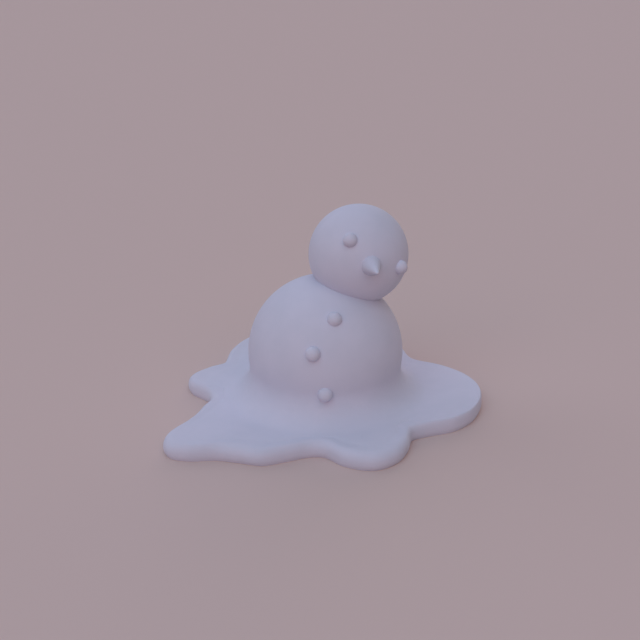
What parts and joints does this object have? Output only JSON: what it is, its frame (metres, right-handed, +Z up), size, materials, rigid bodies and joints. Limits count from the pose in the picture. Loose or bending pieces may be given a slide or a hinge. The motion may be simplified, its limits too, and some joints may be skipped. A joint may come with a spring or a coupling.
{
  "type": "melting snowman",
  "caption": "Snowman melting into its own puddle: a slumped body ball that flares into a lobed flat foot, a head leaning to one side, ball eyes, a pointed cone nose and ball buttons.",
  "frame": {"origin": "on the ground, straight under the middle of the body ball", "axes": "+Z up; the face looks along -Y; the head leans towards +X, which is the viewer's right"},
  "size_m": [0.9528, 0.9375, 0.6334],
  "materials": {
    "snow": "matte, smooth packed wet snow",
    "pellets": "matte, hand-rolled snow",
    "nose": "matte, hand-shaped snow"
  },
  "bodies": {
    "root": {"melting_body": "snow", "head": "snow", "nose": "nose", "eye_left": "pellets", "eye_right": "pellets", "button_top": "pellets", "button_middle": "pellets", "button_bottom": "pellets"}
  },
  "joints": []
}
